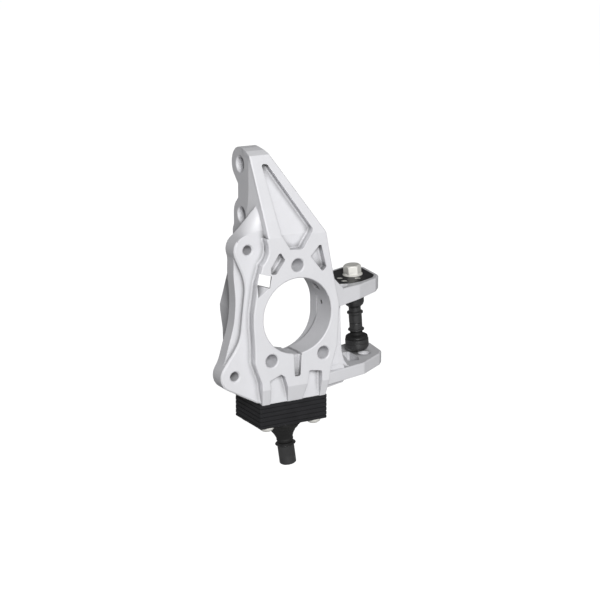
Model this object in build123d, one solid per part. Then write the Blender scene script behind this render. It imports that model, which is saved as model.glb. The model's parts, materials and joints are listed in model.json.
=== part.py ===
"""Front steering knuckle machined from billet, with a shimmed lower ball joint and a tie-rod joint.

Frame: millimetres, +Z up, +Y inboard, +X to the right seen from outboard.
The origin is the centre of the hub bore on the outer face.
"""

import os
from math import cos, hypot, radians, sin, tan

from build123d import *

# ---------------------------------------------------------------- knuckle block
DEPTH = 68.0  # outer face to inner rim
FOLD_TOP = 89.7  # height where the outer face starts to lean back into the strut arm
FOLD_LOW = -78.9  # height where it starts to lean back into the foot
FOOT_Z = -98.3
ARM_TOP = 175.7
ARM_LEAN = 18.0  # degrees
FOOT_LEAN = 19.8
ARM_PLATE = 16.0  # thickness of the arm's front plate
EDGE_R = 1.6
BLOCK_CORNER_R = 8.0
FOOT_HALF = 40.0
FLANK = 53.0  # half width of the block at the hub bore
SHOULDER = 36.0  # half width at the upper fold
TIP_LEFT = -43.8
TIP_RIGHT = -19.2
RIM = 8.0  # wall left round the inner pocket
SKIN = 45.0  # depth where the inner pocket starts

# hub seat
BORE_R = 42.5
BORE_DEPTH = 31.0
BORE_CHAMFER = 1.0
SLOT_R = 41.5
SLOT_LIFT = 3.5
SLOT_DROP = 8.0
HUB_PCR = 56.8
HUB_HOLE_R = 7.25
HUB_HOLE_CHAMFER = 1.2
HUB_ANGLES = (90.0, -55.0, -125.0)
SENSOR_Y = 22.0
SENSOR_ANGLE = 36.0
SENSOR_SLOT = (12.0, 10.0)
WIRE_ANGLE = 7.2
WIRE_HOLE_R = 2.4

# strut lug
LUG_PAD_X = -43.5
LUG_WIDTH = 32.0
LUG_UPPER = (49.9, 163.8)
LUG_LOWER = (47.5, 108.7)
LUG_UPPER_R = 18.8
LUG_LOWER_R = 17.5
LUG_BOLT_R = 8.5
LUG_CHAMFER = 1.0
LUG_WAIST_Y = 54.6
PAD_Y = 31.0  # the pad's front line at the top
PAD_CURVE = 52.0  # radius of the line below its straight part
PAD_TURN_Z = 137.0
WALL_Y = 2.2  # depth behind the outer face where the lug's drafted wall starts

# caliper ear
EAR_Y = 11.0
EAR_STEP = 5.0
EAR_DEPTH = 20.0
CALIPER_UPPER = (-55.5, 77.5)
CALIPER_LOWER = (-72.3, -61.3)
CALIPER_BOSS_UPPER = 16.5
CALIPER_BOSS_LOWER = 17.0
CALIPER_REACH = 20.0  # room cut round the upper bolt
CALIPER_REACH_R = 3.0
CALIPER_HOLE_R = 5.25
CALIPER_CHAMFER = 1.6
CALIPER_LOWER_DEPTH = 18.0
EAR_CHAMFER = 1.6
EAR_ROOT_R = 2.0  # radius where the ear meets the side of the block
FIN_TIP = (-32.9, 133.1)
FIN_TIP_Y = 17.1
FIN_FALL = (0.1, 0.395)

# pockets in the outer face
ARM_POCKET_DEPTH = 9.5
SIDE_POCKET_DEPTH = 9.0
SCALLOP_DEPTH = 8.6
GROOVE_DEPTH = 5.0
POCKET_R = 1.8  # radius where a pocket's wall meets its floor

# steering arms
ARM_SWEEP = 14.0  # degrees, how far the front of both arms falls back going outward
ARM_ROOT_X = 46.0
ARM_ROOT_Y = 17.2
UPPER_ARM_Z = (-6.0, 16.0)
LOWER_ARM_Z = (-91.5, -78.0)
WEB_X = 72.0
WEB_FRONT = 30.0
WEB_BACK = 62.0
ARM_CHAMFER = 1.3
WEB_TOE = 4.0
RIB_SETBACK = 4.5
RECESS_DEPTH = 8.0
INSERT_GAP = 0.3

# ball-joint spacers and flange
STACK_X = 85.0
STACK_FRONT = 9.0
STACK_BACK = 68.0
SPACER_T = 5.0
SPACER_COUNT = 5
SPACER_EDGE = 0.7
FLANGE_T = 3.5
SCREW_SPAN_X = 60.0
SCREW_SPAN_Y = 40.0
SCREW_R = 5.0
SCREW_HEAD_R = 8.75
SCREW_HEAD_H = 5.5
SCREW_KEY = 6.0
SCREW_BITE = 18.0
SCREW_CLEAR = 0.4

# lower ball joint
BALL_Z = -121.0
BALL_R = 13.5
RACE_T = 3.0
POT_R = 21.0
POT_TOP = -99.6
POT_CLEAR = 0.6
COVER_T = 2.4
RUNNING = 0.05  # radial clearance of each sliding fit
SNUG = 0.05  # room under each rubber boot
MOUTH_Z = -132.5
STUD_TILT = 8.2
NECK_R = 6.5
BOOT_SEAT = (31.0, 36.0)  # distances down the stud
STUD_END = 62.1
RIB_AT = 38.2
RIB_R = 11.8
STUD_R = 9.6
BOOT_T = 1.4
BOOT_SMALL_R = 8.6
BOOT_BIG_R = 22.6

# tie-rod joint, measured down its own axis from the bolt seat
TIE_SEAT = (115.0, 73.7, 16.0)
TIE_TILT = 4.78
TIE_BOLT_R = 6.0
HEX_AF = 18.0
HEX_H = 9.4
HEX_TURN = -25.7  # degrees
HEAD_FLANGE_R = 11.7
HEAD_FLANGE_H = 2.9
TIE_BOLT_LENGTH = 33.0
COLLAR_R = 11.4
COLLAR_END = 35.6
PIN_NECK_R = 7.1
PIN_RIB_R = 9.4
PIN_RIB_AT = 45.3
PIN_R = 7.7
PIN_END = 57.6
SPIGOT_R = 4.0
SPIGOT_LENGTH = 9.0
TIE_RIB_AT = 66.1
TIE_RIB_R = 9.5
TIE_NECK_END = 71.5
TIE_BALL_AT = 79.7
TIE_BALL_R = 7.0
TIE_NECK_R = 3.9
TIE_RACE_T = 2.4
TIE_RACE_ENDS = (3.9, 4.5)  # how far the race reaches above and below the ball's centre
TIE_PLUG_TOP = 2.5  # depth of the end cap's plug below the ball's centre
TIE_HOUSING = (76.5, 88.6)
TIE_HOUSING_R = 13.75
TIE_NOSE_R = 9.3
TIE_NOSE = 2.1  # how far the nose stands above the shoulder
TIE_CAP_T = 1.6
TIE_BOOT_T = 1.0

# plan outlines and face outlines, (x, z) seen from outboard or (x, y) seen from above
CROWN = 10.6  # room above the arm's top edge for the rounded lug
ARM_SLOPE = (SHOULDER - TIP_RIGHT) / (ARM_TOP - FOLD_TOP)
ARM_OUTLINE = [
    (-SHOULDER, FOLD_TOP),
    (SHOULDER, FOLD_TOP),
    (TIP_RIGHT - ARM_SLOPE * CROWN, ARM_TOP + CROWN),
    (TIP_LEFT, ARM_TOP + CROWN),
    (TIP_LEFT, ARM_TOP),
]
BLOCK_OUTLINE = [
    (-SHOULDER - 1.4, FOLD_TOP),
    (-44.4, 57.0),
    (-49.6, 41.0),
    (-51.4, 27.0),
    (-54.6, 8.0),
    (-54.6, -6.0),
    (-FLANK, -30.0),
    (-FLANK, -48.0),
    (-44.4, -71.5),
    (-44.0, FOLD_LOW),
    (-FOOT_HALF - 0.8, FOOT_Z),
    (FOOT_HALF, FOOT_Z),
    (40.9, FOLD_LOW),
    (42.7, -65.6),
    (50.7, -40.0),
    (FLANK, 7.0),
    (44.6, 45.0),
    (SHOULDER, FOLD_TOP),
]
BULGE_OUTLINE = [
    (-45.0, 62.0),
    (-56.6, 20.0),
    (-60.6, 6.0),
    (-60.2, -2.0),
    (-57.5, -22.0),
    (-57.0, -45.0),
    (-46.0, -62.0),
    (-20.0, -62.0),
    (-20.0, 62.0),
]
INNER_POCKET = [
    (-26.0, 74.0),
    (-41.0, 56.0),
    (-49.0, 18.0),
    (-51.5, -10.0),
    (-50.5, -44.0),
    (-36.0, -69.0),
    (34.0, -69.0),
    (41.0, -55.0),
    (62.0, -55.0),
    (62.0, 74.0),
]
ARM_POCKET = [(-31.0, 167.0), (-23.6, 165.5), (19.9, 94.5), (6.1, 74.3), (-9.0, 74.7), (-20.0, 91.6)]
LEFT_POCKET = [(-22.0, 74.2), (-33.2, 57.5), (-33.2, 50.5), (-27.0, 49.6), (-15.6, 64.2)]
RIGHT_POCKET = [(28.8, 78.4), (15.6, 65.0), (30.8, 46.4), (36.0, 50.4)]
LEFT_SCALLOP = [(-35.4, -69), (-21.0, -63.4), (-16.4, -67), (-12.2, -80.9), (-8.6, -101), (-31.3, -101)]
RIGHT_SCALLOP = [(14.4, -63.9), (30.9, -66.8), (30.9, -84.6), (31.9, -101.0), (9.0, -101.0)]
GROOVE = [(-5.6, -38.0), (5.0, -38.0), (3.2, -68.6), (-4.0, -68.6)]
WINDOW = [(-47.4, 53.0), (-32.4, 48.5), (-34.9, 35.6), (-50.3, 40.0)]
WINDOW_SILL = (-48.9, 26.6)
WINDOW_SLANT = (0.52, -0.24)  # sideways and downward run for each millimetre inboard

EAR_INNER_X = -36.0
EAR_TOP_Z = 98.6
EAR_HEEL = (-44.5, -96.2)
WAIST_FRONT = [(-60.7, 47.0), (-58.9, 36.0), (-60.0, 22.0), (-63.1, -4.7), (-66.0, -20.8), (-71.5, -31.5)]
WAIST_REAR = [(-70.4, 54.0), (-68.6, 30.0), (-69.0, 8.0), (-72.0, -10.0), (-77.2, -27.0)]
ARM_ROOT = [(66.0, 76.0), (FLANK, 64.0), (FLANK, SKIN), (ARM_ROOT_X, SKIN), (ARM_ROOT_X, ARM_ROOT_Y)]
UPPER_ARM_PLAN = [(98.0, 30.2), (129.0, 45.5), (141.0, 58.5), (147, 101), (126, 113), (108, 106)]
LOWER_ARM_PLAN = [(106.5, 32.3), (141, 54), (150, 64), (156.5, 100), (136, 113), (112, 106)]
ARM_CORNER_R = 7.0
UNDERSIDE = [(ARM_ROOT_X - 2, -4.8), (67.0, -3.4), (99.0, -0.6), (150.0, 1.2)]
INSERT_PLAN = [
    (76.0, 46.5),
    (92.0, 40.5),
    (107.0, 42.5),
    (128.0, 51.8),
    (136.6, 61.8),
    (141.6, 97.0),
    (124.0, 107.5),
    (107.0, 101.0),
    (78.0, 81.0),
]
INSERT_SCREWS = [(93.9, 67.5), (91.9, 54.0), (111.8, 57.6)]
INSERT_SCREW_R = 2.0
INSERT_HEAD_R = 3.4
SCOOP_PLAN = [(72.0, 24.6), (88.5, 34.5), (80.5, 42.4), (72.5, 40.0)]
SCOOP_DEPTH = 7.0
LIGHTENING_PLAN = [(94.0, 47.0), (107.0, 45.0), (112.5, 56.0), (114.5, 79.0), (104.5, 79.0)]
ROUND_HOLE = (127.0, 66.0)
ROUND_HOLE_R = 7.3

STEP = "parts"
DIRECTION = {"x": (1, 0, 0), "y": (0, 1, 0), "z": (0, 0, 1)}


def place(axis, level, pair):
    """Point at a level along one axis, with the other two coordinates in X, Y, Z order."""
    if axis == "x":
        return (level, pair[0], pair[1])
    if axis == "y":
        return (pair[0], level, pair[1])
    return (pair[0], pair[1], level)


def outline(axis, points, level, corner=0.0, near=None):
    """Flat face; corners are rounded, all of them or those for which near(vertex) holds."""
    wire = Wire.make_polygon([place(axis, level, p) for p in points], close=True)
    if corner:
        wire = wire.fillet_2d(corner, [v for v in wire.vertices() if near is None or near(v)])
    return Face(wire)


def prism(axis, points, start, end, corner=0.0, near=None):
    face = outline(axis, points, start, corner, near)
    return extrude(face, amount=end - start, dir=DIRECTION[axis])


def pocket(points, depth, corner, radius):
    """Cutter for a pocket in the outer face, with a rounded floor edge."""
    tool = prism("y", points, -1, depth, corner)
    return fillet(tool.faces().sort_by(Axis.Y)[-1].edges(), radius)


def block(x, y, z):
    """Box between pairs of limits."""
    return prism("z", [(x[0], y[0]), (x[1], y[0]), (x[1], y[1]), (x[0], y[1])], z[0], z[1])


def rod(axis, pair, start, end, radius):
    plane = Plane(origin=place(axis, start, pair), z_dir=DIRECTION[axis])
    return Solid.make_cylinder(radius, end - start, plane)


def cone(axis, pair, start, end, radius_start, radius_end):
    plane = Plane(origin=place(axis, start, pair), z_dir=DIRECTION[axis])
    return Solid.make_cone(radius_start, radius_end, end - start, plane)


def turned(profile):
    """Solid of revolution about Z from (radius, height) pairs."""
    face = Face(Wire.make_polygon([(r, 0, z) for r, z in profile], close=True))
    return revolve(face, Axis.Z, 360)


def face_y(z):
    """Depth of the outer face at height z."""
    if z > FOLD_TOP:
        return (z - FOLD_TOP) * tan(radians(ARM_LEAN))
    if z < FOLD_LOW:
        return (FOLD_LOW - z) * tan(radians(FOOT_LEAN))
    return 0.0


def sweep_y(x):
    """Depth of the steering arms' front faces."""
    return ARM_ROOT_Y + (x - ARM_ROOT_X) * tan(radians(ARM_SWEEP))


STACK_TOP = FOOT_Z
FLANGE_TOP = STACK_TOP - SPACER_COUNT * SPACER_T
FLANGE_BOTTOM = FLANGE_TOP - FLANGE_T
STACK_MID_Y = (STACK_FRONT + STACK_BACK) / 2
SCREW_SPOTS = [
    (sx * SCREW_SPAN_X / 2, STACK_MID_Y + sy * SCREW_SPAN_Y / 2) for sx in (-1, 1) for sy in (-1, 1)
]
BALL = (0.0, STACK_MID_Y, BALL_Z)
STUD_FRAME = Location(BALL, (0, -STUD_TILT, 0))
TIE_FRAME = Location(TIE_SEAT, (0, -TIE_TILT, 0))


# ---------------------------------------------------------------- knuckle body
def front_edges(solid):
    """Edges down both sides of the outer face, without the two folds."""
    picked = []
    for edge in solid.edges():
        ends = [v.center() for v in edge.vertices()]
        flush = all(abs(p.Y - face_y(p.Z)) < 0.01 for p in ends)
        level = abs(ends[0].Z - ends[-1].Z) < 0.01
        if flush and not level and FOOT_Z - 1 < min(p.Z for p in ends):
            picked.append(edge)
    return picked


def left_side(vertex):
    """Corners of the block's outline from the strut arm down to the foot, on the caliper side."""
    return vertex.X < 0 and FOLD_LOW + 1 < vertex.Z < FOLD_TOP - 1


def core():
    """The block round the hub, with its outer edges rounded."""
    side = [(face_y(FOOT_Z), FOOT_Z), (DEPTH, FOOT_Z), (DEPTH, FOLD_TOP), (0, FOLD_TOP), (0, FOLD_LOW)]
    rear = prism("y", BLOCK_OUTLINE, EAR_Y, DEPTH, BLOCK_CORNER_R, left_side)
    cx, cz = CALIPER_UPPER
    reach = Face(Wire.make_circle(CALIPER_REACH, Plane(origin=(cx, -1, cz), z_dir=(0, 1, 0))))
    plan = outline("y", BLOCK_OUTLINE, -1, BLOCK_CORNER_R, left_side) - reach
    plan = plan.faces()[0]
    corners = [v for v in plan.vertices() if abs(hypot(v.X - cx, v.Z - cz) - CALIPER_REACH) < 0.01]
    plan = plan.fillet_2d(CALIPER_REACH_R, corners)
    front = extrude(plan, amount=EAR_Y + 1, dir=(0, 1, 0))
    body = (front + rear) & prism("x", side, -90, 90)
    return fillet(front_edges(body), EDGE_R)


def arm_front():
    """Front plate of the strut arm, with its outer edges rounded."""
    top = face_y(ARM_TOP)
    plate_side = [
        (0, FOLD_TOP),
        (top, ARM_TOP),
        (top + 7.5, ARM_TOP + 4.0),
        (top + ARM_PLATE, ARM_TOP + 6.3),
        (ARM_PLATE, FOLD_TOP),
    ]
    plate = prism("y", ARM_OUTLINE, -1, DEPTH + 1) & prism("x", plate_side, -90, 90)
    return fillet(front_edges(plate), EDGE_R)


def lug():
    """Strut lug with its two rounded ends and the drafted wall down to the arm's edge."""
    uy, uz = LUG_UPPER
    ly, lz = LUG_LOWER
    u45 = LUG_UPPER_R * sin(radians(45))
    l45 = LUG_LOWER_R * sin(radians(45))
    top = face_y(ARM_TOP)
    side = [
        (WALL_Y, FOLD_TOP - 12),
        (WALL_Y, FOLD_TOP),
        (top + WALL_Y, ARM_TOP),
        (top + 7.5, ARM_TOP + 4.0),
        (uy - 4, uz + LUG_UPPER_R - 0.4),
        (uy + u45, uz - u45),
        (LUG_WAIST_Y, uz - 2 * u45 + LUG_WAIST_Y - uy),
        (LUG_WAIST_Y, lz + 2 * l45 - (LUG_WAIST_Y - ly)),
        (ly + l45, lz + l45),
        (ly + LUG_LOWER_R, lz),
        (ly + LUG_LOWER_R, FOLD_TOP + 6),
        (DEPTH, FOLD_TOP),
        (DEPTH, FOLD_TOP - 12),
    ]
    right = LUG_PAD_X + LUG_WIDTH
    front = [
        (LUG_PAD_X, FOLD_TOP - 12),
        (right, FOLD_TOP - 12),
        (right, ARM_TOP - (right - TIP_RIGHT) / ARM_SLOPE),
        (TIP_RIGHT - ARM_SLOPE * CROWN, ARM_TOP + CROWN),
        (LUG_PAD_X, ARM_TOP + CROWN),
    ]
    sides = prism("x", side, -90, 90)
    sides += rod("x", LUG_UPPER, -90, 90, LUG_UPPER_R)
    sides += rod("x", LUG_LOWER, -90, 90, LUG_LOWER_R)
    body = prism("y", front, 0, DEPTH + 5) & sides
    # the pad ends along a line that curves back toward the lower bolt
    body -= prism("x", PAD_FRONT, LUG_PAD_X - 1, LUG_PAD_X + 8)
    return body + (draft_wall() & sides)


def pad_y(z):
    """Depth of the front line of the lug's pad, straight at the top and curving back below."""
    run = max(0.0, PAD_TURN_Z - z)
    return PAD_Y + run * run / (2 * PAD_CURVE)


PAD_LEVELS = [84.0, 89.0, 94.0, 99.0, 104.0, 109.0, 114.0, 119.0, 125.0, 131.0, PAD_TURN_Z, 150.0, ARM_TOP]
PAD_FRONT = [(0, ARM_TOP + 25), (0, 70), (pad_y(PAD_LEVELS[0]), 70)]
PAD_FRONT += [(pad_y(z), z) for z in PAD_LEVELS]
PAD_FRONT += [(PAD_Y, ARM_TOP + 25)]


def draft_wall():
    """Wall between the arm's left edge and the front line of the lug's pad."""
    faces = []
    for z in PAD_LEVELS:
        share = max(0.0, z - FOLD_TOP) / (ARM_TOP - FOLD_TOP)
        edge_x = -SHOULDER + (TIP_LEFT + SHOULDER) * share + 0.1
        y = face_y(z) + WALL_Y
        if z < FOLD_TOP:
            y = EAR_Y + 3
        back = max(pad_y(z), y + 0.5)
        corners = [(edge_x, y), (LUG_PAD_X + 0.02, back), (LUG_PAD_X + 14, back + 4), (edge_x + 12, y)]
        faces.append(outline("z", corners, z))
    return loft(faces, ruled=True)


def on_circle(centre, radius, angle):
    return (centre[0] + radius * cos(radians(angle)), centre[1] + radius * sin(radians(angle)))


def ear_face(y, waist):
    """Ear outline: top fold, upper boss, waist, lower boss and heel."""
    up, low = CALIPER_UPPER, CALIPER_LOWER
    ru, rl = CALIPER_BOSS_UPPER, CALIPER_BOSS_LOWER
    upper = [place("y", y, on_circle(up, ru, a)) for a in (102.0, 150.0, 200.0)]
    lower = [place("y", y, on_circle(low, rl, a)) for a in (145.0, 195.0, 241.0)]
    middle = [place("y", y, p) for p in waist]
    inner = [(EAR_INNER_X, y, EAR_HEEL[1]), (EAR_INNER_X, y, EAR_TOP_Z)]
    heel = place("y", y, EAR_HEEL)
    leave = (-sin(radians(200.0)), 0, cos(radians(200.0)))
    arrive = (-sin(radians(145.0)), 0, cos(radians(145.0)))
    return Face(
        Wire(
            [
                Edge.make_line(inner[1], upper[0]),
                Edge.make_three_point_arc(*upper),
                Edge.make_spline([upper[2]] + middle + [lower[0]], tangents=[leave, arrive]),
                Edge.make_three_point_arc(*lower),
                Edge.make_line(lower[2], heel),
                Edge.make_line(heel, inner[0]),
                Edge.make_line(inner[0], inner[1]),
            ]
        )
    )


def ear():
    """Caliper ear: a thin front layer, a wider rear layer and a boss at each hole."""
    step = EAR_Y + EAR_STEP
    front = extrude(ear_face(EAR_Y, WAIST_FRONT), amount=EAR_STEP, dir=(0, 1, 0))
    rim = [e for e in front.edges() if abs(e.center().Y - EAR_Y) < 0.01 and e.center().X < EAR_INNER_X - 12]
    rim = [e for e in rim if e.center().Z < EAR_TOP_Z - 6]
    front = chamfer(rim, EAR_CHAMFER)
    rear = extrude(ear_face(step, WAIST_REAR), amount=EAR_DEPTH - EAR_STEP, dir=(0, 1, 0))
    return (front + rear).clean()


def fin_back(x, z):
    """Depth of the fin's rear outline, which lies in a plane that falls back toward the boss."""
    tip_x, tip_z = FIN_TIP
    return FIN_TIP_Y + FIN_FALL[0] * (x - tip_x) - FIN_FALL[1] * (z - tip_z)


def fin():
    """Web that sweeps from the ear's upper end back to the side of the strut arm."""
    cx, cz = CALIPER_UPPER
    big = CALIPER_BOSS_UPPER
    front = [(-28.0, 98.6), (-36.6, 98.6)] + [on_circle(CALIPER_UPPER, big, a) for a in (102, 120, 138)]
    rear = [(-28.0, FIN_TIP[1] - 6), FIN_TIP, (-57.2, 100.6), (-63.8, 92.4)]
    rear += [on_circle(CALIPER_UPPER, big - 0.5, 138)]
    front += [(cx, cz), (-28.0, cz)]
    rear += [(cx, cz), (-28.0, cz)]
    faces = []
    for row, depth in ((front, lambda x, z: EAR_Y), (rear, fin_back)):
        faces.append(Face(Wire.make_polygon([(x, depth(x, z), z) for x, z in row], close=True)))
    return loft(faces, ruled=True) & block((-90, 0), (EAR_Y, EAR_Y + EAR_DEPTH), (0, 140))


def arm_plate(plan, low, top):
    """One plate of the clevis, chamfered round its upper face."""
    body = prism("z", plan + ARM_ROOT, low, top, ARM_CORNER_R, lambda v: v.X > 90)
    rim = [e for e in body.faces().sort_by(Axis.Z)[-1].edges() if e.center().X > FLANK + 1]
    return chamfer(rim, ARM_CHAMFER)


def steering_arms():
    """Clevis of two plates and the web that carries them."""
    low_z, low_top = LOWER_ARM_Z
    up_z, up_top = UPPER_ARM_Z
    upper = arm_plate(UPPER_ARM_PLAN, up_z, up_top)
    upper -= prism("y", UNDERSIDE + [(170.0, up_z), (170.0, up_z - 5), (ARM_ROOT_X - 2, up_z - 5)], 0, 130)
    lower = arm_plate(LOWER_ARM_PLAN, low_z, low_top)
    side = [
        (ARM_ROOT_X, low_top - 4),
        (WEB_X + 11, low_top - 4),
        (WEB_X + 14, low_top),
        (WEB_X + 10, low_top + 2.0),
        (WEB_X + 5.5, low_top + 8.0),
        (WEB_X + 2, low_top + 20.0),
        (WEB_X + 0.6, low_top + 48.0),
        (WEB_X, -2.0),
        (ARM_ROOT_X, -2.0),
    ]
    plan = [
        (ARM_ROOT_X, WEB_FRONT),
        (WEB_X + 22, WEB_FRONT),
        (WEB_X + 22, WEB_BACK),
        (FLANK, WEB_BACK),
        (FLANK, SKIN),
        (ARM_ROOT_X, SKIN),
    ]
    web = prism("y", side, 10, WEB_BACK) & prism("z", plan, low_z, up_top)
    toe = [(WEB_FRONT - WEB_TOE, low_top), (WEB_FRONT, low_top), (WEB_FRONT, low_top + WEB_TOE)]
    web += prism("x", toe, ARM_ROOT_X, WEB_X + 4)
    slope = [(ARM_ROOT_X, up_top - 4), (WEB_X + 1.5, up_top - 4), (WEB_X, up_top + 0.4)]
    slope += [(FLANK, up_top + 19.5), (ARM_ROOT_X, up_top + 26)]
    gusset = prism("y", slope, 10, 34)
    gusset &= prism("z", [(44, sweep_y(44)), (90, sweep_y(90)), (90, 34), (44, 34)], up_z, up_top + 40)
    keel = [(36, low_z + 3), (82, low_z + 3), (80, low_z), (75, low_z - 4), (36, low_z - 5.3)]
    rib = prism("y", keel, 10, 56)
    setback = sweep_y(36) + RIB_SETBACK
    rib &= prism("z", [(36, setback), (90, sweep_y(90) + RIB_SETBACK), (90, 56), (36, 56)], FOOT_Z, low_top)
    return upper + lower + web + gusset + rib


def ear_root(block_body):
    """Hollow radius where the ear's outer face meets the side of the block."""
    step = EAR_Y + EAR_STEP
    slab = block((-90, EAR_INNER_X + 6), (EAR_Y, step), (FOOT_Z, FOLD_TOP))
    joined = block_body + slab
    picked = []
    for edge in joined.edges():
        ends = [v.center() for v in edge.vertices()]
        flush = all(abs(p.Y - EAR_Y) < 0.01 for p in ends)
        if flush and all(-FLANK - 5 < p.X < EAR_INNER_X + 2 for p in ends):
            picked.append(edge)
    rounded = fillet(picked, EAR_ROOT_R)
    return rounded & extrude(ear_face(EAR_Y, WAIST_FRONT), amount=-EAR_Y, dir=(0, 1, 0))


def knuckle():
    body = core()
    body += ear_root(body)
    body += arm_front()
    body += ear()
    body += lug()
    body += fin()
    body += prism("y", BULGE_OUTLINE, EAR_Y + EAR_STEP, DEPTH, 6.0)
    body -= prism("y", INNER_POCKET, SKIN, DEPTH + 1, 6.0)
    body += steering_arms()
    body = body.clean()
    cuts = []
    # hub seat
    cuts.append(rod("y", (0, 0), -1, BORE_DEPTH, BORE_R))
    cuts.append(cone("y", (0, 0), -0.001, BORE_CHAMFER, BORE_R + BORE_CHAMFER, BORE_R))
    seat = (BORE_DEPTH - 0.5, SKIN + 0.5)
    for lift in (SLOT_LIFT, -SLOT_DROP):
        cuts.append(rod("y", (0, lift), *seat, SLOT_R))
    cuts.append(block((-SLOT_R, SLOT_R), seat, (-SLOT_DROP, SLOT_LIFT)))
    for angle in HUB_ANGLES:
        spot = (HUB_PCR * cos(radians(angle)), HUB_PCR * sin(radians(angle)))
        cuts.append(rod("y", spot, -1, SKIN + 1, HUB_HOLE_R))
        cuts.append(cone("y", spot, -0.001, HUB_HOLE_CHAMFER, HUB_HOLE_R + HUB_HOLE_CHAMFER, HUB_HOLE_R))
    # sensor port and wire hole through the side of the hub seat
    wide, tall = SENSOR_SLOT
    port = block((BORE_R - 6, BORE_R + 20), (-wide / 2, wide / 2), (-tall / 2, tall / 2))
    port = fillet(port.edges().filter_by(Axis.X), 2.4)
    cuts.append(Location((0, SENSOR_Y, 0), (0, -SENSOR_ANGLE, 0)) * port)
    wire = rod("x", (0, 0), BORE_R - 6, FLANK + 4, WIRE_HOLE_R)
    cuts.append(Location((0, SENSOR_Y, 0), (0, -WIRE_ANGLE, 0)) * wire)
    # pockets in the outer face
    slab = [(face_y(z) - 3, z) for z in (FOLD_LOW, FOLD_TOP, ARM_TOP)]
    slab += [(face_y(z) + ARM_POCKET_DEPTH, z) for z in (ARM_TOP, FOLD_TOP, FOLD_LOW)]
    cuts.append(prism("y", ARM_POCKET, -5, DEPTH, 2.6) & prism("x", slab, -90, 90))
    cuts[-1] = fillet(pocket_floor(cuts[-1]), POCKET_R)
    for shape in (LEFT_POCKET, RIGHT_POCKET):
        cuts.append(pocket(shape, SIDE_POCKET_DEPTH, 2.2, POCKET_R))
    for shape in (LEFT_SCALLOP, RIGHT_SCALLOP):
        cuts.append(pocket(shape, SCALLOP_DEPTH, 2.2, POCKET_R))
    cuts.append(pocket(GROOVE, GROOVE_DEPTH, 2.0, POCKET_R))
    cuts.append(block((-5.4, 5.0), (-1, BORE_DEPTH), (-BORE_R - 2.2, -BORE_R + 5)))
    cuts += window()
    # bolt holes of the strut and the caliper
    for spot in (LUG_UPPER, LUG_LOWER):
        right = LUG_PAD_X + LUG_WIDTH
        cuts.append(rod("x", spot, LUG_PAD_X - 1, right + 60, LUG_BOLT_R))
        rim = (LUG_PAD_X - 0.001, LUG_PAD_X + LUG_CHAMFER)
        cuts.append(cone("x", spot, *rim, LUG_BOLT_R + LUG_CHAMFER, LUG_BOLT_R))
    rim = (EAR_Y - 0.001, EAR_Y + CALIPER_CHAMFER)
    for spot, length in ((CALIPER_UPPER, EAR_DEPTH + 1), (CALIPER_LOWER, CALIPER_LOWER_DEPTH)):
        cuts.append(rod("y", spot, EAR_Y - 1, EAR_Y + length, CALIPER_HOLE_R))
        cuts.append(cone("y", spot, *rim, CALIPER_HOLE_R + CALIPER_CHAMFER, CALIPER_HOLE_R))
    # steering arms
    up_top = UPPER_ARM_Z[1]
    recess = offset(outline("z", INSERT_PLAN, up_top - RECESS_DEPTH, 4.0), INSERT_GAP)
    cuts.append(extrude(recess, amount=RECESS_DEPTH + 1, dir=(0, 0, 1)))
    cuts.append(prism("z", SCOOP_PLAN, up_top - SCOOP_DEPTH, up_top + 4, 3.0))
    cuts.append(prism("z", LIGHTENING_PLAN, LOWER_ARM_Z[0] - 1, LOWER_ARM_Z[1] + 1, 3.0))
    cuts.append(rod("z", ROUND_HOLE, LOWER_ARM_Z[0] - 1, LOWER_ARM_Z[1] + 1, ROUND_HOLE_R))
    for spot in INSERT_SCREWS:
        cuts.append(rod("z", spot, UPPER_ARM_Z[0] - 1, up_top - RECESS_DEPTH, INSERT_SCREW_R))
    cuts.append(TIE_FRAME * rod("z", (0, 0), -TIE_BOLT_LENGTH, 4, TIE_BOLT_R + 0.3))
    cuts.append(TIE_FRAME * rod("z", (0, 0), -COLLAR_END, COLLAR_TOP, COLLAR_R + 0.6))
    # tapped holes for the ball joint's screws
    for spot in SCREW_SPOTS:
        cuts.append(rod("z", spot, FOOT_Z - 1, FOOT_Z + SCREW_BITE + 2, SCREW_R))
    for cut in cuts:
        body -= cut
    return body


COLLAR_TOP = -15.0  # the pin's collar ends inside the upper plate


def pocket_floor(solid):
    """Edges round the floor of the arm's pocket, without its fold."""
    picked = []
    for edge in solid.edges():
        ends = [v.center() for v in edge.vertices()] + [edge.center()]
        low = all(abs(p.Y - face_y(p.Z) - ARM_POCKET_DEPTH) < 0.3 for p in ends)
        fold = all(abs(p.Z - FOLD_TOP) < 0.01 for p in ends)
        if low and not fold:
            picked.append(edge)
    return picked


def window():
    """Opening beside the hub seat, slanted toward the bore, with a sloping sill."""
    run_x, run_z = WINDOW_SLANT
    depth = SKIN + 2
    faces = []
    for y in (-2, depth):
        faces.append(outline("y", [(x + run_x * y, z + run_z * y) for x, z in WINDOW], y))
    tool = loft(faces, ruled=True)
    left, corner = WINDOW[3], WINDOW[2]
    reach = 13.0
    tip = (left[0] + run_x * reach, reach, left[1] + run_z * reach)
    a = (left[0], 0, left[1])
    b = (corner[0], 0, corner[1])
    c = (WINDOW_SILL[0], 0, WINDOW_SILL[1])
    lift = [(p[0], -1, p[2]) for p in (a, b, c)]
    front = loft([Face(Wire.make_polygon(t, close=True)) for t in (lift, [a, b, c])], ruled=True)
    triangles = [(a, c, b), (a, b, tip), (b, c, tip), (c, a, tip)]
    shell = Shell([Face(Wire.make_polygon(list(t), close=True)) for t in triangles])
    return [tool, front, Solid(shell)]


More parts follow.
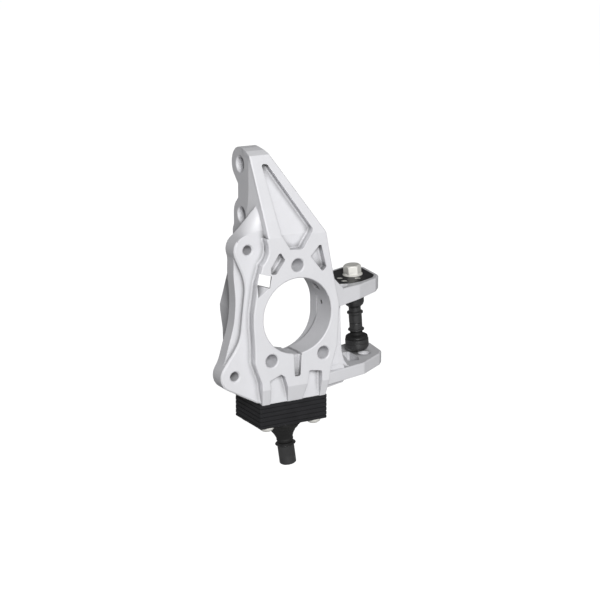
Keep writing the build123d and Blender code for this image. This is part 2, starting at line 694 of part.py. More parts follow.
# ---------------------------------------------------------------- ball-joint stack
def plate(z_top, thickness, hole_r):
    half = STACK_X / 2
    body = block((-half, half), (STACK_FRONT, STACK_BACK), (z_top - thickness, z_top))
    body = chamfer(body.edges(), SPACER_EDGE)
    if hole_r:
        body -= rod("z", (0, STACK_MID_Y), z_top - thickness - 1, z_top + 1, hole_r)
    for spot in SCREW_SPOTS:
        body -= rod("z", spot, z_top - thickness - 1, z_top + 1, SCREW_R + SCREW_CLEAR)
    return body


def spacer(index):
    return plate(STACK_TOP - index * SPACER_T, SPACER_T, POT_R + POT_CLEAR)


RACE_R = BALL_R + RACE_T


def ball_housing():
    """Flange with the joint's pot above it and a short collar for the boot below."""
    body = plate(FLANGE_TOP, FLANGE_T, 0)
    x, y = BALL[:2]
    body += rod("z", (x, y), FLANGE_TOP - 0.5, POT_TOP, POT_R)
    body += rod("z", (x, y), MOUTH_Z, FLANGE_BOTTOM + 0.5, BOOT_BIG_R - BOOT_T - SNUG)
    body -= rod("z", (x, y), BALL_Z - BALL_R / 2 - 0.8, POT_TOP + 1, RACE_R + RUNNING)
    body -= cone("z", (x, y), MOUTH_Z - 1, BALL_Z - BALL_R / 2, RACE_R + 1.5, RACE_R - 3.2)
    return body


def ball_cover():
    x, y = BALL[:2]
    body = rod("z", (x, y), POT_TOP - COVER_T, POT_TOP, RACE_R - 0.02 + RUNNING)
    return body


def ball_race():
    x, y = BALL[:2]
    body = rod("z", (x, y), BALL_Z - BALL_R / 2 - 0.6, POT_TOP - COVER_T - 0.4, RACE_R)
    body -= Location(BALL) * Solid.make_sphere(BALL_R + RUNNING, angle1=-90, angle2=90, angle3=360)
    return body


def ball_stud():
    s0, s1 = BOOT_SEAT
    shape = turned(
        [
            (0, 0),
            (NECK_R, 0),
            (NECK_R, -BALL_R - 6),
            (BOOT_SMALL_R - BOOT_T - SNUG, -s0),
            (BOOT_SMALL_R - BOOT_T - SNUG, -s1),
            (STUD_R - 0.6, -s1 - 0.2),
            (RIB_R, -RIB_AT),
            (STUD_R, -RIB_AT - 1.6),
            (STUD_R, -STUD_END + 0.8),
            (STUD_R - 0.8, -STUD_END),
            (0, -STUD_END),
        ]
    )
    shape += Solid.make_sphere(BALL_R, angle1=-90, angle2=90, angle3=360)
    return STUD_FRAME * shape


def ball_boot():
    """Flared rubber boot from the housing's collar to the stud."""
    x, y = BALL[:2]
    cuff = rod("z", (x, y), MOUTH_Z, FLANGE_BOTTOM - 0.4, BOOT_BIG_R)
    cuff -= rod("z", (x, y), MOUTH_Z - 1, FLANGE_BOTTOM, BOOT_BIG_R - BOOT_T)
    near, far = BOOT_SEAT
    mouth = Location((x, y, MOUTH_Z))
    neck = STUD_FRAME * Location((0, 0, -near))
    outer, inner = [], []
    for share, radius in ((0.0, BOOT_BIG_R), (0.34, 15.6), (0.7, 11.4), (1.0, BOOT_SMALL_R)):
        centre = mouth.position + (neck.position - mouth.position) * share
        plane = Plane(Location(centre, neck.orientation * share))
        outer.append(Face(Wire.make_circle(radius, plane)))
        inner.append(Face(Wire.make_circle(radius - BOOT_T, plane)))
    skirt = loft(outer, ruled=True) - loft(inner, ruled=True)
    sleeve = rod("z", (0, 0), -far, -near, BOOT_SMALL_R)
    sleeve -= rod("z", (0, 0), -far, -near, BOOT_SMALL_R - BOOT_T)
    return cuff + skirt + STUD_FRAME * sleeve


def screws():
    """Button-head screws from below, one group."""
    made = []
    for x, y in SCREW_SPOTS:
        shank = rod("z", (x, y), FLANGE_BOTTOM - 0.1, FOOT_Z + SCREW_BITE, SCREW_R)
        head = turned(
            [
                (0, 0),
                (SCREW_HEAD_R, 0),
                (SCREW_HEAD_R, -1.2),
                (SCREW_HEAD_R * 0.86, -SCREW_HEAD_H * 0.62),
                (SCREW_HEAD_R * 0.6, -SCREW_HEAD_H * 0.93),
                (SCREW_HEAD_R * 0.42, -SCREW_HEAD_H),
                (0, -SCREW_HEAD_H),
            ]
        )
        key = extrude(RegularPolygon(SCREW_KEY / 2, 6, major_radius=False), amount=3.2)
        head -= Location((0, 0, -SCREW_HEAD_H - 0.2)) * key
        made.append(shank + Location((x, y, FLANGE_BOTTOM)) * head)
    return made


# ---------------------------------------------------------------- tie-rod joint
def insert():
    up_top = UPPER_ARM_Z[1]
    body = prism("z", INSERT_PLAN, up_top - RECESS_DEPTH, up_top, 4.0)
    body = chamfer(body.faces().sort_by(Axis.Z)[-1].edges(), 0.5)
    body -= TIE_FRAME * rod("z", (0, 0), -TIE_BOLT_LENGTH, 4, TIE_BOLT_R + 0.15)
    body -= TIE_FRAME * rod("z", (0, 0), 0, 6, HEAD_FLANGE_R + 0.6)
    for spot in INSERT_SCREWS:
        body -= rod("z", spot, 0, up_top + 1, INSERT_SCREW_R + 0.2)
        body -= rod("z", spot, up_top - 3.0, up_top + 1, INSERT_HEAD_R + 0.2)
    return body


def insert_screws():
    up_top = UPPER_ARM_Z[1]
    made = []
    for spot in INSERT_SCREWS:
        body = rod("z", spot, up_top - RECESS_DEPTH - 8, up_top - 2.9, INSERT_SCREW_R)
        body += rod("z", spot, up_top - 3.0, up_top - 0.3, INSERT_HEAD_R)
        key = extrude(RegularPolygon(1.5, 6, major_radius=False), amount=3)
        made.append(body - Location((spot[0], spot[1], up_top - 1.9)) * key)
    return made


def tie_bolt():
    shank = rod("z", (0, 0), -TIE_BOLT_LENGTH, 0.1, TIE_BOLT_R)
    skirt = turned(
        [(0, 0), (HEAD_FLANGE_R, 0), (HEAD_FLANGE_R, 1.0), (HEX_AF / 2, HEAD_FLANGE_H), (0, HEAD_FLANGE_H)]
    )
    hexagon = RegularPolygon(HEX_AF / 2, 6, major_radius=False, rotation=HEX_TURN)
    head = extrude(hexagon, amount=HEAD_FLANGE_H + HEX_H)
    corner = HEX_AF / 2 / cos(radians(30))
    crown = turned(
        [
            (0, 0),
            (corner + 1, 0),
            (corner + 1, HEAD_FLANGE_H + HEX_H - 2.4),
            (HEX_AF / 2 * 0.94, HEAD_FLANGE_H + HEX_H),
            (0, HEAD_FLANGE_H + HEX_H),
        ]
    )
    return TIE_FRAME * (shank + skirt + (head & crown))


def tie_pin():
    top = COLLAR_TOP
    shape = turned(
        [
            (0, top),
            (COLLAR_R, top),
            (COLLAR_R, -COLLAR_END + 3),
            (COLLAR_R - 1.2, -COLLAR_END),
            (PIN_NECK_R + 1.2, -COLLAR_END - 1.6),
            (PIN_NECK_R, -COLLAR_END - 3),
            (PIN_NECK_R, -PIN_RIB_AT + 2.2),
            (PIN_RIB_R, -PIN_RIB_AT + 0.7),
            (PIN_RIB_R, -PIN_RIB_AT - 0.7),
            (PIN_R, -PIN_RIB_AT - 2.0),
            (PIN_R, -PIN_END + 0.4),
            (PIN_R - 0.4, -PIN_END),
            (0, -PIN_END),
        ]
    )
    shape -= rod("z", (0, 0), -TIE_BOLT_LENGTH - 1, top + 1, TIE_BOLT_R)
    shape -= rod("z", (0, 0), -PIN_END - 1, -PIN_END + SPIGOT_LENGTH + 1, SPIGOT_R)
    return TIE_FRAME * shape


def tie_stud():
    shape = turned(
        [
            (0, -PIN_END + SPIGOT_LENGTH),
            (SPIGOT_R, -PIN_END + SPIGOT_LENGTH),
            (SPIGOT_R, -PIN_END),
            (PIN_R - 0.6, -PIN_END),
            (PIN_R - 0.1, -PIN_END - 0.5),
            (PIN_R - 0.1, -TIE_RIB_AT + 1.8),
            (TIE_RIB_R, -TIE_RIB_AT + 0.6),
            (TIE_RIB_R, -TIE_RIB_AT - 0.6),
            (PIN_NECK_R - TIE_BOOT_T, -TIE_RIB_AT - 1.6),
            (PIN_NECK_R - TIE_BOOT_T, -TIE_NECK_END),
            (TIE_NECK_R, -TIE_NECK_END - 1.6),
            (TIE_NECK_R, -TIE_BALL_AT),
            (0, -TIE_BALL_AT),
        ]
    )
    ball = Solid.make_sphere(TIE_BALL_R, angle1=-90, angle2=90, angle3=360)
    return TIE_FRAME * (shape + Location((0, 0, -TIE_BALL_AT)) * ball)


TIE_SEAT_R = TIE_BALL_R + TIE_RACE_T + RUNNING
TIE_CENTRE = TIE_FRAME * Location((0, 0, -TIE_BALL_AT))


def ball_of(radius):
    return Solid.make_sphere(radius, angle1=-90, angle2=90, angle3=360)


def tie_race():
    """Ring between the ball and the housing, a sphere inside and out."""
    above, below = TIE_RACE_ENDS
    ring = rod("z", (0, 0), -below, above, TIE_SEAT_R + 1) & ball_of(TIE_BALL_R + TIE_RACE_T)
    return TIE_CENTRE * (ring - ball_of(TIE_BALL_R + RUNNING))


def tie_housing():
    top, low = TIE_HOUSING
    wide = TIE_HOUSING_R
    shape = turned(
        [
            (0, -top + TIE_NOSE),
            (TIE_NOSE_R, -top + TIE_NOSE),
            (TIE_NOSE_R, -top),
            (wide - 1.6, -top),
            (wide, -top - 1.2),
            (wide, -top - 5.0),
            (wide - 0.5, -top - 5.5),
            (wide, -top - 6.0),
            (wide, -low + 2.4),
            (wide - 0.4, -low + 1.1),
            (wide - 1.2, -low),
            (0, -low),
        ]
    )
    shape -= rod("z", (0, 0), -low - 1, -TIE_BALL_AT, TIE_SEAT_R)
    return TIE_FRAME * shape - TIE_CENTRE * ball_of(TIE_SEAT_R)


def tie_cap():
    """End cap, with a plug that closes the ball's seat from below."""
    low = TIE_HOUSING[1]
    wide = TIE_HOUSING_R - 1.3
    plug = TIE_SEAT_R - RUNNING
    shape = turned(
        [
            (0, -TIE_BALL_AT - TIE_PLUG_TOP),
            (plug, -TIE_BALL_AT - TIE_PLUG_TOP),
            (plug, -low),
            (wide, -low),
            (wide - 0.5, -low - TIE_CAP_T * 0.6),
            (wide - 1.6, -low - TIE_CAP_T),
            (0, -low - TIE_CAP_T),
        ]
    )
    return TIE_FRAME * shape - TIE_CENTRE * ball_of(TIE_SEAT_R)


def tie_boot():
    """Short rubber boot that flares from the stud's neck over the nose of the housing."""
    top = TIE_HOUSING[0]
    wall = TIE_BOOT_T
    start = TIE_RIB_AT + 2.5
    small, big = PIN_NECK_R, TIE_HOUSING_R - 0.9
    shape = turned(
        [
            (small - wall + SNUG, -start),
            (small, -start),
            (small, -TIE_NECK_END),
            (big, -top + 0.9),
            (big, -top + SNUG),
            (big - wall, -top + SNUG),
            (big - wall * 1.5, -top + 0.7),
            (TIE_NOSE_R + SNUG, -top + TIE_NOSE + 0.3),
            (small - wall + SNUG, -TIE_NECK_END - 0.5),
        ]
    )
    return TIE_FRAME * shape


def build_parts():
    parts = {"knuckle_body": knuckle()}
    for index in range(SPACER_COUNT):
        parts[f"ball_joint_spacer_{index + 1}"] = spacer(index)
    parts["ball_joint_housing"] = ball_housing()
    parts["ball_joint_cover"] = ball_cover()
    parts["ball_joint_race"] = ball_race()
    parts["ball_joint_stud"] = ball_stud()
    parts["ball_joint_boot"] = ball_boot()
    parts["flange_screws"] = Compound(children=screws())
    parts["steering_insert"] = insert()
    parts["insert_screws"] = Compound(children=insert_screws())
    parts["tie_rod_bolt"] = tie_bolt()
    parts["tie_rod_pin"] = tie_pin()
    parts["tie_rod_stud"] = tie_stud()
    parts["tie_rod_race"] = tie_race()
    parts["tie_rod_housing"] = tie_housing()
    parts["tie_rod_end_cap"] = tie_cap()
    parts["tie_rod_boot"] = tie_boot()
    return parts


os.makedirs(STEP, exist_ok=True)
for name, shape in build_parts().items():
    export_step(shape, os.path.join(STEP, name + ".step"))
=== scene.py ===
import json
import math

import bpy
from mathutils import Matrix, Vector

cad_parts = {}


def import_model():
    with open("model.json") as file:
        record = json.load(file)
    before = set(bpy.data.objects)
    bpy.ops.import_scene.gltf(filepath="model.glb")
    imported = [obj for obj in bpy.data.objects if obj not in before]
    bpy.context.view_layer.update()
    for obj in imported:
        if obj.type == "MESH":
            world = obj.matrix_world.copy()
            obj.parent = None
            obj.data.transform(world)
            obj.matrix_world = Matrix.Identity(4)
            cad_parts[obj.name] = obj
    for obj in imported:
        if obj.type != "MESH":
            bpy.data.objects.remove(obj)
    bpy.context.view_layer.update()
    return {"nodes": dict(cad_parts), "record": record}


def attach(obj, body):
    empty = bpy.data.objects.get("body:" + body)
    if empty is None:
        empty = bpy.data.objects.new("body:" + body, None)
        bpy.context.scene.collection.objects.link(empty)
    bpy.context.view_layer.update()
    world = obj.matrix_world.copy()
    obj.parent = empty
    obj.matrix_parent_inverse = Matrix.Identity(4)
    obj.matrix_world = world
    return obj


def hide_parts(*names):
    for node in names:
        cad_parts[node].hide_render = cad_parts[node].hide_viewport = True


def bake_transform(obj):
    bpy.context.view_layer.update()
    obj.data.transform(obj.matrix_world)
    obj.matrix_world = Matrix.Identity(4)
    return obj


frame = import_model()

# Places in millimetres and angles in degrees, as the solids have them; MM turns them into metres.
MM = 0.001
STACK_MID_Y = 38.5
BALL = Vector((0.0, STACK_MID_Y, -121.0))
STUD_TILT = 8.2
CUFF_MOUTH = Vector((0.0, STACK_MID_Y, -132.5))  # rim of the large boot's collar
CUFF_NECK = 31.0  # from the ball down to where the boot grips the stud
BALL_CLIP_Z = -129.6
BALL_CLIP_R = 22.65
BALL_CLIP_WIRE = 0.5
TIE_SEAT = Vector((115.0, 73.7, 16.0))  # underside of the bolt's flange
TIE_TILT = 4.78  # the distances below run down from the seat along this lean
TIE_CLIP_AT = 75.5
TIE_CLIP_R = 12.8
TIE_CLIP_WIRE = 0.4

LENS = 101.305
SENSOR = 36.0
CAMERA_PLACE = (-0.88374, -1.53479, 0.49267)
CAMERA_TURN = 30.0
CAMERA_FALL = 15.0
KEY_DIRECTION = (-0.305, -0.868, 0.391)
KEY_DISTANCE = 6.0
KEY_SIZE = 2.0
KEY_WATTS = 350.0
AMBIENT = 0.05
MIRRORED_SHARE = 0.15  # how bright the background looks in a mirroring surface
FLOOR_Z = -0.30
FLOOR_SIZE = 60
FLOOR_GLOW = 0.97
FLOOR_GREY = 0.45


def down_from(point, tilt, distance):
    """Point that far down an axis which leans outward by tilt degrees."""
    lean = math.radians(tilt)
    return point + Vector((math.sin(lean), 0, -math.cos(lean))) * distance


# ---------------------------------------------------------------- finishes
class Sheet:
    """Small helper that lays out one material's or group's nodes."""

    def __init__(self, tree):
        self.tree = tree

    def add(self, kind, values=None, **settings):
        node = self.tree.nodes.new("ShaderNode" + kind)
        for name, value in settings.items():
            setattr(node, name, value)
        for name, value in (values or {}).items():
            node.inputs[name].default_value = value
        return node

    def add_end(self, kind):
        return self.tree.nodes.new(kind)

    def join(self, source, target):
        self.tree.links.new(source, target)

    def maths(self, operation, first, second):
        node = self.add("Math", operation=operation)
        for socket, value in zip(node.inputs, (first, second)):
            if isinstance(value, (int, float)):
                socket.default_value = value
            else:
                self.join(value, socket)
        return node.outputs[0]

    def spread(self, value, low, high, to_low, to_high):
        limits = {"From Min": low, "From Max": high, "To Min": to_low, "To Max": to_high}
        node = self.add("MapRange", limits)
        self.join(value, node.inputs["Value"])
        return node.outputs["Result"]


def group_of(name, inputs, outputs):
    """Empty shader group with named number sockets."""
    tree = bpy.data.node_groups.new(name, "ShaderNodeTree")
    for label, kind, value in inputs:
        socket = tree.interface.new_socket(label, in_out="INPUT", socket_type="NodeSocket" + kind)
        if value is not None:
            socket.default_value = value
    for label, kind in outputs:
        tree.interface.new_socket(label, in_out="OUTPUT", socket_type="NodeSocket" + kind)
    sheet = Sheet(tree)
    return tree, sheet, sheet.add_end("NodeGroupInput"), sheet.add_end("NodeGroupOutput")


def machining_group():
    """Fine cutter lines laid over a slow cloudy tone, for faces cut from solid."""
    tree, s, start, end = group_of(
        "cutter marks",
        [
            ("Grain Scale", "Float", 1400.0),
            ("Stretch", "Vector", (1.0, 1.0, 0.12)),
            ("Cloud Scale", "Float", 45.0),
        ],
        [("Tone", "Float"), ("Height", "Float")],
    )
    place = s.add("TexCoord")
    drawn = s.add("Mapping")
    s.join(place.outputs["Object"], drawn.inputs["Vector"])
    s.join(start.outputs["Stretch"], drawn.inputs["Scale"])
    lines = s.add("TexNoise", {"Detail": 3.0, "Roughness": 0.6})
    s.join(drawn.outputs["Vector"], lines.inputs["Vector"])
    s.join(start.outputs["Grain Scale"], lines.inputs["Scale"])
    cloud = s.add("TexNoise", {"Detail": 4.0, "Roughness": 0.55})
    s.join(place.outputs["Object"], cloud.inputs["Vector"])
    s.join(start.outputs["Cloud Scale"], cloud.inputs["Scale"])
    fine = s.spread(lines.outputs["Fac"], 0.3, 0.7, -0.5, 0.5)
    slow = s.spread(cloud.outputs["Fac"], 0.3, 0.7, -0.5, 0.5)
    tone = s.maths("ADD", s.maths("MULTIPLY", fine, 0.4), s.maths("MULTIPLY", slow, 0.6))
    s.join(tone, end.inputs["Tone"])
    s.join(lines.outputs["Fac"], end.inputs["Height"])
    return tree


def pebble_group():
    """Even small-scale roughness, for anodised, phosphated and rubber skins."""
    tree, s, start, end = group_of(
        "pebbled skin",
        [("Scale", "Float", 900.0), ("Cloud Scale", "Float", 60.0)],
        [("Tone", "Float"), ("Height", "Float")],
    )
    place = s.add("TexCoord")
    pebble = s.add("TexNoise", {"Detail": 2.0, "Roughness": 0.7})
    s.join(place.outputs["Object"], pebble.inputs["Vector"])
    s.join(start.outputs["Scale"], pebble.inputs["Scale"])
    cloud = s.add("TexNoise", {"Detail": 3.0})
    s.join(place.outputs["Object"], cloud.inputs["Vector"])
    s.join(start.outputs["Cloud Scale"], cloud.inputs["Scale"])
    s.join(s.spread(cloud.outputs["Fac"], 0.3, 0.7, -0.5, 0.5), end.inputs["Tone"])
    s.join(pebble.outputs["Fac"], end.inputs["Height"])
    return tree


def edge_group():
    """Masks of the edges, for wear and painted highlight, and of inner corners, for painted shade, with the
    normal that rounds the edges.
    """
    tree, s, start, end = group_of(
        "edge wear, highlight and corner shade",
        [("Radius", "Float", 0.0012), ("Corner Reach", "Float", 0.009)],
        [("Wear And Highlight", "Float"), ("Corner Shade", "Float"), ("Normal", "Vector")],
    )
    rounded = s.add("Bevel", samples=6)
    s.join(start.outputs["Radius"], rounded.inputs["Radius"])
    flat = s.add("NewGeometry")
    same = s.add("VectorMath", operation="DOT_PRODUCT")
    s.join(rounded.outputs["Normal"], same.inputs[0])
    s.join(flat.outputs["Normal"], same.inputs[1])
    # Edge mask for wear and painted highlight: high where the rounded normal leaves the flat one.
    s.join(s.spread(same.outputs["Value"], 0.995, 0.80, 0.0, 1.0), end.inputs["Wear And Highlight"])
    s.join(rounded.outputs["Normal"], end.inputs["Normal"])
    # Painted shade: ambient occlusion marks inner corners and recesses, where the base colour is darkened.
    inner = s.add("AmbientOcclusion", samples=8)
    s.join(start.outputs["Corner Reach"], inner.inputs["Distance"])
    s.join(s.spread(inner.outputs["AO"], 0.35, 0.9, 1.0, 0.0), end.inputs["Corner Shade"])
    return tree


MARKS = machining_group()
PEBBLE = pebble_group()
EDGES = edge_group()


def tinted(sheet, base, tone, wear_and_highlight, corner_shade, tone_amount, wear_highlight_colour, wear_highlight_amount, corner_shade_amount):
    """Base colour moved by the tone, darkened in inner corners as painted shade, and lightened along the
    edges as wear and painted highlight.
    """
    shade = sheet.spread(tone, -0.5, 0.5, 1 - tone_amount, 1 + tone_amount)
    # Painted shade: the corner mask darkens the colour in inner corners and recesses.
    shade = sheet.maths("MULTIPLY", shade, sheet.spread(corner_shade, 0.0, 1.0, 1.0, 1 - corner_shade_amount))
    colour = sheet.add("Mix", data_type="RGBA", blend_type="MULTIPLY")
    colour.inputs["Factor"].default_value = 1.0
    colour.inputs["A"].default_value = (*base, 1)
    sheet.join(shade, colour.inputs["B"])
    # Wear and painted highlight: the edges are mixed toward the lighter edge colour.
    wear_and_highlight_mix = sheet.add("Mix", data_type="RGBA")
    sheet.join(sheet.maths("MULTIPLY", wear_and_highlight, wear_highlight_amount), wear_and_highlight_mix.inputs["Factor"])
    sheet.join(colour.outputs["Result"], wear_and_highlight_mix.inputs["A"])
    wear_and_highlight_mix.inputs["B"].default_value = (*wear_highlight_colour, 1)
    return wear_and_highlight_mix.outputs["Result"]


def finish(
    name,
    skin_group,
    skin_values,
    base,
    wear_highlight_colour,
    wear_highlight_amount,
    tone_amount,
    rough,
    rough_spread,
    bump,
    edge_radius,
    corner_shade_amount,
    **sockets,
):
    """Metal, plastic or rubber surface from a skin group and the edge group."""
    material = bpy.data.materials.new(name)
    material.use_nodes = True
    material.diffuse_color = (*base, 1)
    s = Sheet(material.node_tree)
    shader = material.node_tree.nodes["Principled BSDF"]
    grain = s.add("Group", node_tree=skin_group)
    for label, value in skin_values.items():
        grain.inputs[label].default_value = value
    edges = s.add("Group", node_tree=EDGES)
    edges.inputs["Radius"].default_value = edge_radius
    tone, wear_and_highlight, corner_shade = grain.outputs["Tone"], edges.outputs["Wear And Highlight"], edges.outputs["Corner Shade"]
    colour = tinted(s, base, tone, wear_and_highlight, corner_shade, tone_amount, wear_highlight_colour, wear_highlight_amount, corner_shade_amount)
    s.join(colour, shader.inputs["Base Color"])
    s.join(s.spread(tone, -0.5, 0.5, rough - rough_spread, rough + rough_spread), shader.inputs["Roughness"])
    raised = s.add("Bump", {"Strength": bump, "Distance": 0.0002})
    s.join(grain.outputs["Height"], raised.inputs["Height"])
    s.join(edges.outputs["Normal"], raised.inputs["Normal"])
    s.join(raised.outputs["Normal"], shader.inputs["Normal"])
    for label, value in sockets.items():
        shader.inputs[label.replace("_", " ")].default_value = value
    return material


# In each finish below, the edge colour and amount paint wear and a highlight on the edges, and the corner
# amount sets the painted shade in inner corners.
BILLET = finish(
    "satin billet aluminium",
    MARKS,
    {"Grain Scale": 1500.0, "Stretch": (1.0, 1.0, 0.1), "Cloud Scale": 38.0},
    base=(0.77, 0.77, 0.795),
    wear_highlight_colour=(0.88, 0.88, 0.89),
    wear_highlight_amount=0.25,
    tone_amount=0.025,
    rough=0.5,
    rough_spread=0.05,
    bump=0.12,
    edge_radius=0.0010,
    corner_shade_amount=0.8,
    Metallic=0.06,
    Specular_IOR_Level=0.2,
)
ANODISED = finish(
    "black anodised plate",
    PEBBLE,
    {"Scale": 1500.0, "Cloud Scale": 60.0},
    base=(0.019, 0.019, 0.021),
    wear_highlight_colour=(0.09, 0.09, 0.095),
    wear_highlight_amount=0.35,
    tone_amount=0.12,
    rough=0.55,
    rough_spread=0.06,
    bump=0.15,
    edge_radius=0.0004,
    corner_shade_amount=0.5,
    Metallic=0.0,
    Specular_IOR_Level=0.22,
)
PHOSPHATE = finish(
    "black phosphated steel",
    PEBBLE,
    {"Scale": 1300.0, "Cloud Scale": 90.0},
    base=(0.068, 0.068, 0.069),
    wear_highlight_colour=(0.17, 0.17, 0.17),
    wear_highlight_amount=0.35,
    tone_amount=0.15,
    rough=0.34,
    rough_spread=0.05,
    bump=0.2,
    edge_radius=0.0004,
    corner_shade_amount=0.6,
    Metallic=0.6,
    Specular_IOR_Level=0.5,
)
ZINC = finish(
    "pale zinc plate",
    MARKS,
    {"Grain Scale": 1800.0, "Stretch": (1.0, 1.0, 1.0), "Cloud Scale": 120.0},
    base=(0.92, 0.91, 0.86),
    wear_highlight_colour=(0.95, 0.94, 0.90),
    wear_highlight_amount=0.4,
    tone_amount=0.05,
    rough=0.40,
    rough_spread=0.06,
    bump=0.1,
    edge_radius=0.0005,
    corner_shade_amount=0.5,
    Metallic=0.3,
    Specular_IOR_Level=0.6,
)
RUBBER = finish(
    "moulded black rubber",
    PEBBLE,
    {"Scale": 1100.0, "Cloud Scale": 80.0},
    base=(0.016, 0.016, 0.016),
    wear_highlight_colour=(0.05, 0.05, 0.05),
    wear_highlight_amount=0.3,
    tone_amount=0.2,
    rough=0.62,
    rough_spread=0.08,
    bump=0.3,
    edge_radius=0.0006,
    corner_shade_amount=0.5,
    Metallic=0.0,
    Specular_IOR_Level=0.3,
)
ACETAL = finish(
    "pale acetal bearing",
    PEBBLE,
    {"Scale": 900.0, "Cloud Scale": 90.0},
    base=(0.82, 0.80, 0.74),
    wear_highlight_colour=(0.88, 0.86, 0.80),
    wear_highlight_amount=0.3,
    tone_amount=0.02,
    rough=0.4,
    rough_spread=0.05,
    bump=0.1,
    edge_radius=0.0003,
    corner_shade_amount=0.3,
    Metallic=0.0,
)

FINISH_OF_SLOT = {
    "billet": BILLET,
    "black_plate": ANODISED,
    "dark_steel": PHOSPHATE,
    "zinc_steel": ZINC,
    "rubber": RUBBER,
    "bearing": ACETAL,
}


def dress_nodes():
    """Gives every solid the finish of its material slot."""
    slots = {row["node"]: row["material_slot"] for row in frame["record"]["subparts"]}
    for name, piece in frame["nodes"].items():
        if not piece.material_slots:
            piece.data.materials.append(None)
        for holder in piece.material_slots:
            holder.material = FINISH_OF_SLOT[slots[name]]


dress_nodes()


# ---------------------------------------------------------------- modelled pieces
def clear_selection():
    if bpy.context.object and bpy.context.object.mode != "OBJECT":
        bpy.ops.object.mode_set(mode="OBJECT")
    bpy.ops.object.select_all(action="DESELECT")


def drawn_tube(name, rings, sides=64):
    """Open tube drawn ring by ring; each ring is (centre in mm, radius in mm, lean in degrees)."""
    clear_selection()
    centre, radius, lean = rings[0]
    bpy.ops.mesh.primitive_circle_add(vertices=sides, radius=radius * MM, location=centre * MM)
    piece = bpy.context.object
    piece.name = piece.data.name = name
    bpy.ops.object.transform_apply(location=True, rotation=True, scale=True)
    bpy.ops.object.mode_set(mode="EDIT")
    bpy.ops.mesh.select_all(action="SELECT")
    if lean:
        turn_ring(math.radians(lean), centre)
    for (old, old_radius, old_lean), (new, new_radius, new_lean) in zip(rings, rings[1:]):
        bpy.ops.mesh.extrude_region_move(TRANSFORM_OT_translate={"value": (new - old) * MM})
        grow = new_radius / old_radius
        bpy.ops.transform.resize(value=(grow, grow, grow), center_override=new * MM)
        if abs(new_lean - old_lean) > 1e-6:
            turn_ring(math.radians(new_lean - old_lean), new)
    bpy.ops.mesh.select_all(action="SELECT")
    bpy.ops.mesh.normals_make_consistent(inside=False)
    bpy.ops.object.mode_set(mode="OBJECT")
    return piece


def turn_ring(angle, centre):
    """Leans the chosen ring outward about its own centre."""
    bpy.ops.transform.rotate(
        value=angle, orient_axis="Y", orient_type="GLOBAL", center_override=centre * MM
    )


def skin(piece, thickness, rounds):
    """Gives an open tube its wall and rounds it, then applies both."""
    wall = piece.modifiers.new("wall", "SOLIDIFY")
    wall.thickness = thickness * MM
    wall.offset = -1
    round_off = piece.modifiers.new("round", "SUBSURF")
    round_off.levels = round_off.render_levels = rounds
    bpy.context.view_layer.objects.active = piece
    piece.select_set(True)
    bpy.ops.object.modifier_apply(modifier="wall")
    bpy.ops.object.modifier_apply(modifier="round")
    bpy.ops.object.shade_smooth()


def settle(piece, material):
    piece.data.materials.clear()
    piece.data.materials.append(material)


def ball_boot():
    """Flared boot from the ball joint's collar down to the stud, with a clip groove and folds."""
    neck = down_from(BALL, STUD_TILT, CUFF_NECK)
    rings = [(Vector((0, STACK_MID_Y, z)), radius, 0) for z, radius in (
        (-127.3, 22.2), (-128.0, 22.6), (-128.6, 22.5), (-129.0, 21.9), (-130.2, 21.9),
        (-130.6, 22.5), (-131.6, 22.6), (-132.5, 22.2),
    )]
    for share, radius in (
        (0.05, 21.2), (0.12, 19.6), (0.19, 18.6), (0.24, 18.4), (0.30, 17.2), (0.37, 15.4), (0.44, 14.4),
        (0.50, 14.1), (0.57, 13.1), (0.66, 11.9), (0.76, 11.0), (0.86, 10.2), (0.95, 9.6), (1.0, 9.4),
    ):
        rings.append((CUFF_MOUTH + (neck - CUFF_MOUTH) * share, radius, STUD_TILT * share))
    for distance, radius in ((31.6, 9.5), (32.2, 9.7), (33.0, 9.7), (33.6, 9.3), (35.0, 9.2), (35.8, 8.9)):
        rings.append((down_from(BALL, STUD_TILT, distance), radius, STUD_TILT))
    piece = drawn_tube("ball_joint_boot_skin", rings)
    skin(piece, 1.3, 1)
    settle(piece, RUBBER)
    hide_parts("ball_joint_boot")
    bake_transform(piece)
    return piece


def wire_ring(name, centre, lean, radius, wire, body):
    """Round wire ring about an axis that leans outward; it holds a boot in its groove."""
    rings = []
    for step in range(9):
        angle = step * math.pi / 4
        place = down_from(centre, lean, wire * math.sin(angle))
        rings.append((place, radius + wire * math.cos(angle), lean))
    piece = drawn_tube(name, rings, 72)
    clear_selection()
    piece.select_set(True)
    bpy.context.view_layer.objects.active = piece
    bpy.ops.object.mode_set(mode="EDIT")
    bpy.ops.mesh.select_all(action="SELECT")
    bpy.ops.mesh.remove_doubles(threshold=0.00002)
    bpy.ops.mesh.normals_make_consistent(inside=False)
    bpy.ops.object.mode_set(mode="OBJECT")
    bpy.ops.object.shade_smooth()
    settle(piece, PHOSPHATE)
    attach(piece, body)
    return piece


def tie_boot():
    """Short boot that flares from the tie-rod stud over the nose of its housing."""
    rings = []
    for distance, radius in (
        (68.7, 6.9), (68.9, 7.3), (69.5, 7.5), (70.1, 7.2), (71.6, 7.25), (72.0, 7.9),
        (72.4, 9.2), (72.8, 10.5), (73.3, 11.7), (73.9, 12.6), (74.4, 13.0), (74.9, 13.0),
        (75.1, 12.6), (75.3, 12.4), (75.7, 12.4), (75.9, 12.7), (76.3, 12.85),
    ):
        rings.append((down_from(TIE_SEAT, TIE_TILT, distance), radius, TIE_TILT))
    piece = drawn_tube("tie_rod_boot_skin", rings)
    skin(piece, 0.9, 1)
    settle(piece, RUBBER)
    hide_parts("tie_rod_boot")
    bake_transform(piece)
    return piece


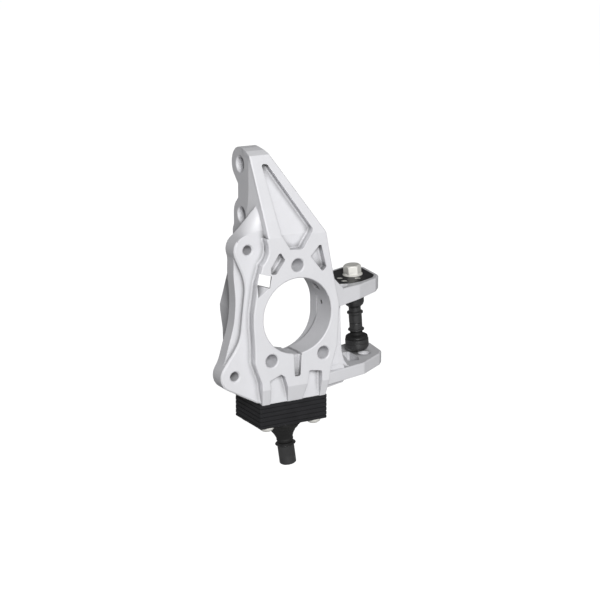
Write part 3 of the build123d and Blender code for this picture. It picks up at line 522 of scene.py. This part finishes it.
ball_boot()
clip_place = Vector((0, STACK_MID_Y, BALL_CLIP_Z))
wire_ring("ball_joint_boot_clip", clip_place, 0, BALL_CLIP_R, BALL_CLIP_WIRE, "ball_race")
tie_boot()
clip_place = down_from(TIE_SEAT, TIE_TILT, TIE_CLIP_AT)
wire_ring("tie_rod_boot_clip", clip_place, TIE_TILT, TIE_CLIP_R, TIE_CLIP_WIRE, "tie_housing")


# ---------------------------------------------------------------- floor, light and camera
def background_seen(s, path):
    """1 where the eye or clear glass meets the background, and less where satin metal mirrors it."""
    mirrored = s.maths("MULTIPLY", path.outputs["Is Glossy Ray"], MIRRORED_SHARE)
    straight = s.maths("MAXIMUM", path.outputs["Is Camera Ray"], path.outputs["Is Transmission Ray"])
    return s.maths("MAXIMUM", straight, mirrored)


def floor():
    """Plain pale floor; it fills the background with white and still takes the soft shadow."""
    clear_selection()
    bpy.ops.mesh.primitive_plane_add(size=FLOOR_SIZE, location=(0, 0, FLOOR_Z))
    ground = bpy.context.object
    ground.name = "studio_floor"
    bpy.ops.object.transform_apply(location=True, rotation=True, scale=True)
    material = bpy.data.materials.new("pale studio floor")
    material.use_nodes = True
    nodes, links = material.node_tree.nodes, material.node_tree.links
    nodes.clear()
    s = Sheet(material.node_tree)
    paper = s.add("BsdfDiffuse", {"Color": (FLOOR_GREY, FLOOR_GREY, FLOOR_GREY, 1)})
    glow = s.add("Emission", {"Color": (1, 1, 1, 1)})
    path = s.add("LightPath")
    links.new(s.maths("MULTIPLY", background_seen(s, path), FLOOR_GLOW), glow.inputs["Strength"])
    both = s.add("AddShader")
    links.new(paper.outputs[0], both.inputs[0])
    links.new(glow.outputs[0], both.inputs[1])
    out = s.add("OutputMaterial")
    links.new(both.outputs[0], out.inputs["Surface"])
    ground.data.materials.append(material)


def world():
    scene = bpy.context.scene
    made = bpy.data.worlds.new("studio") if scene.world is None else scene.world
    scene.world = made
    made.use_nodes = True
    made.node_tree.nodes.clear()
    s = Sheet(made.node_tree)
    path = s.add("LightPath")
    sky = s.add("Background", {"Color": (1, 1, 1, 1)})
    strength = s.spread(background_seen(s, path), 0.0, 1.0, AMBIENT, 1.0)
    s.join(strength, sky.inputs["Strength"])
    out = s.add("OutputWorld")
    s.join(sky.outputs[0], out.inputs["Surface"])


def lamp(name, toward, distance, size, watts):
    """Soft square lamp that shines on the middle of the part from the given direction."""
    middle = Vector((0.03, 0.04, 0.0))
    direction = Vector(toward).normalized()
    data = bpy.data.lights.new(name, "AREA")
    data.shape, data.size, data.energy = "SQUARE", size, watts
    holder = bpy.data.objects.new(name, data)
    bpy.context.scene.collection.objects.link(holder)
    holder.location = middle + direction * distance
    holder.rotation_mode = "QUATERNION"
    holder.rotation_quaternion = (-direction).to_track_quat("-Z", "Y")


def camera():
    data = bpy.data.cameras.new("camera")
    data.sensor_width, data.lens = SENSOR, LENS
    data.clip_start, data.clip_end = 0.05, 100.0
    holder = bpy.data.objects.new("camera", data)
    bpy.context.scene.collection.objects.link(holder)
    turn, fall = math.radians(CAMERA_TURN), math.radians(CAMERA_FALL)
    ahead = Vector((math.sin(turn) * math.cos(fall), math.cos(turn) * math.cos(fall), -math.sin(fall)))
    holder.location = CAMERA_PLACE
    holder.rotation_mode = "QUATERNION"
    holder.rotation_quaternion = ahead.to_track_quat("-Z", "Y")
    bpy.context.scene.camera = holder


floor()
world()
lamp("key", KEY_DIRECTION, KEY_DISTANCE, KEY_SIZE, KEY_WATTS)
camera()
bpy.context.scene.view_settings.view_transform = "Standard"
